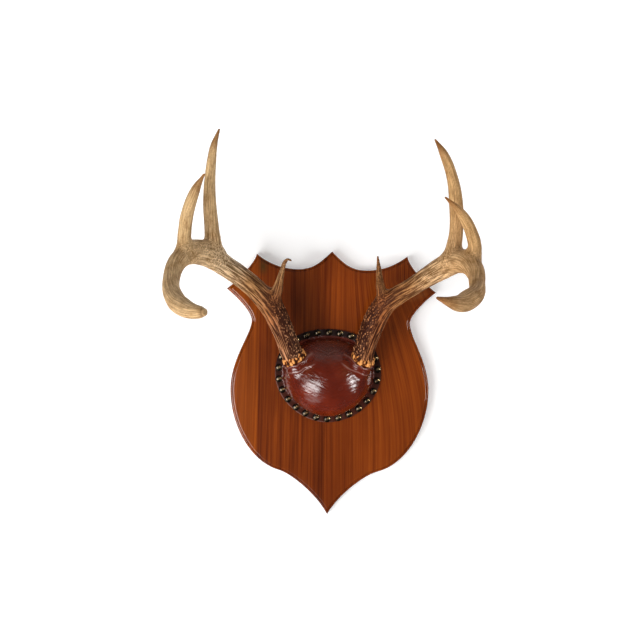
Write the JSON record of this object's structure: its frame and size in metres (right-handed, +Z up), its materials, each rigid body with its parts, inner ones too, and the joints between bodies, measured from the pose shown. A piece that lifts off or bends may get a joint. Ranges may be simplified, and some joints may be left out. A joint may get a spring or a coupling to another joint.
{
  "type": "antler mounting plaque",
  "caption": "Shield shaped wooden wall plaque with a moulded edge, carrying a domed leather skull cover held by a ring of tacks and a pair of branched deer antlers.",
  "frame": {"origin": "middle of the board's flat back, on its line of symmetry, where it meets the wall", "axes": "+Z up, +X to the right of someone who faces the plaque, +Y into the wall, so the antlers reach towards -Y"},
  "size_m": [0.3924, 0.308, 0.4979],
  "materials": {
    "wood": "reddish brown hardwood, clear lacquer, semi-gloss",
    "leather": "oxblood leather, polished",
    "antler": "natural antler, dark brown and beaded at the foot, tan and smooth towards the tips",
    "bronze": "darkened bronze, worn bright on the crown"
  },
  "bodies": {
    "root": {"shield_plaque": "wood", "leather_skull_cover": "leather", "antler_left": "antler", "antler_right": "antler", "tack_01": "bronze", "tack_02": "bronze", "tack_03": "bronze", "tack_04": "bronze", "tack_05": "bronze", "tack_06": "bronze", "tack_07": "bronze", "tack_08": "bronze", "tack_09": "bronze", "tack_10": "bronze", "tack_11": "bronze", "tack_12": "bronze", "tack_13": "bronze", "tack_14": "bronze", "tack_15": "bronze", "tack_16": "bronze", "tack_17": "bronze", "tack_18": "bronze", "tack_19": "bronze", "tack_20": "bronze", "tack_21": "bronze", "tack_22": "bronze", "tack_23": "bronze", "tack_24": "bronze", "tack_25": "bronze", "tack_26": "bronze"}
  },
  "joints": []
}
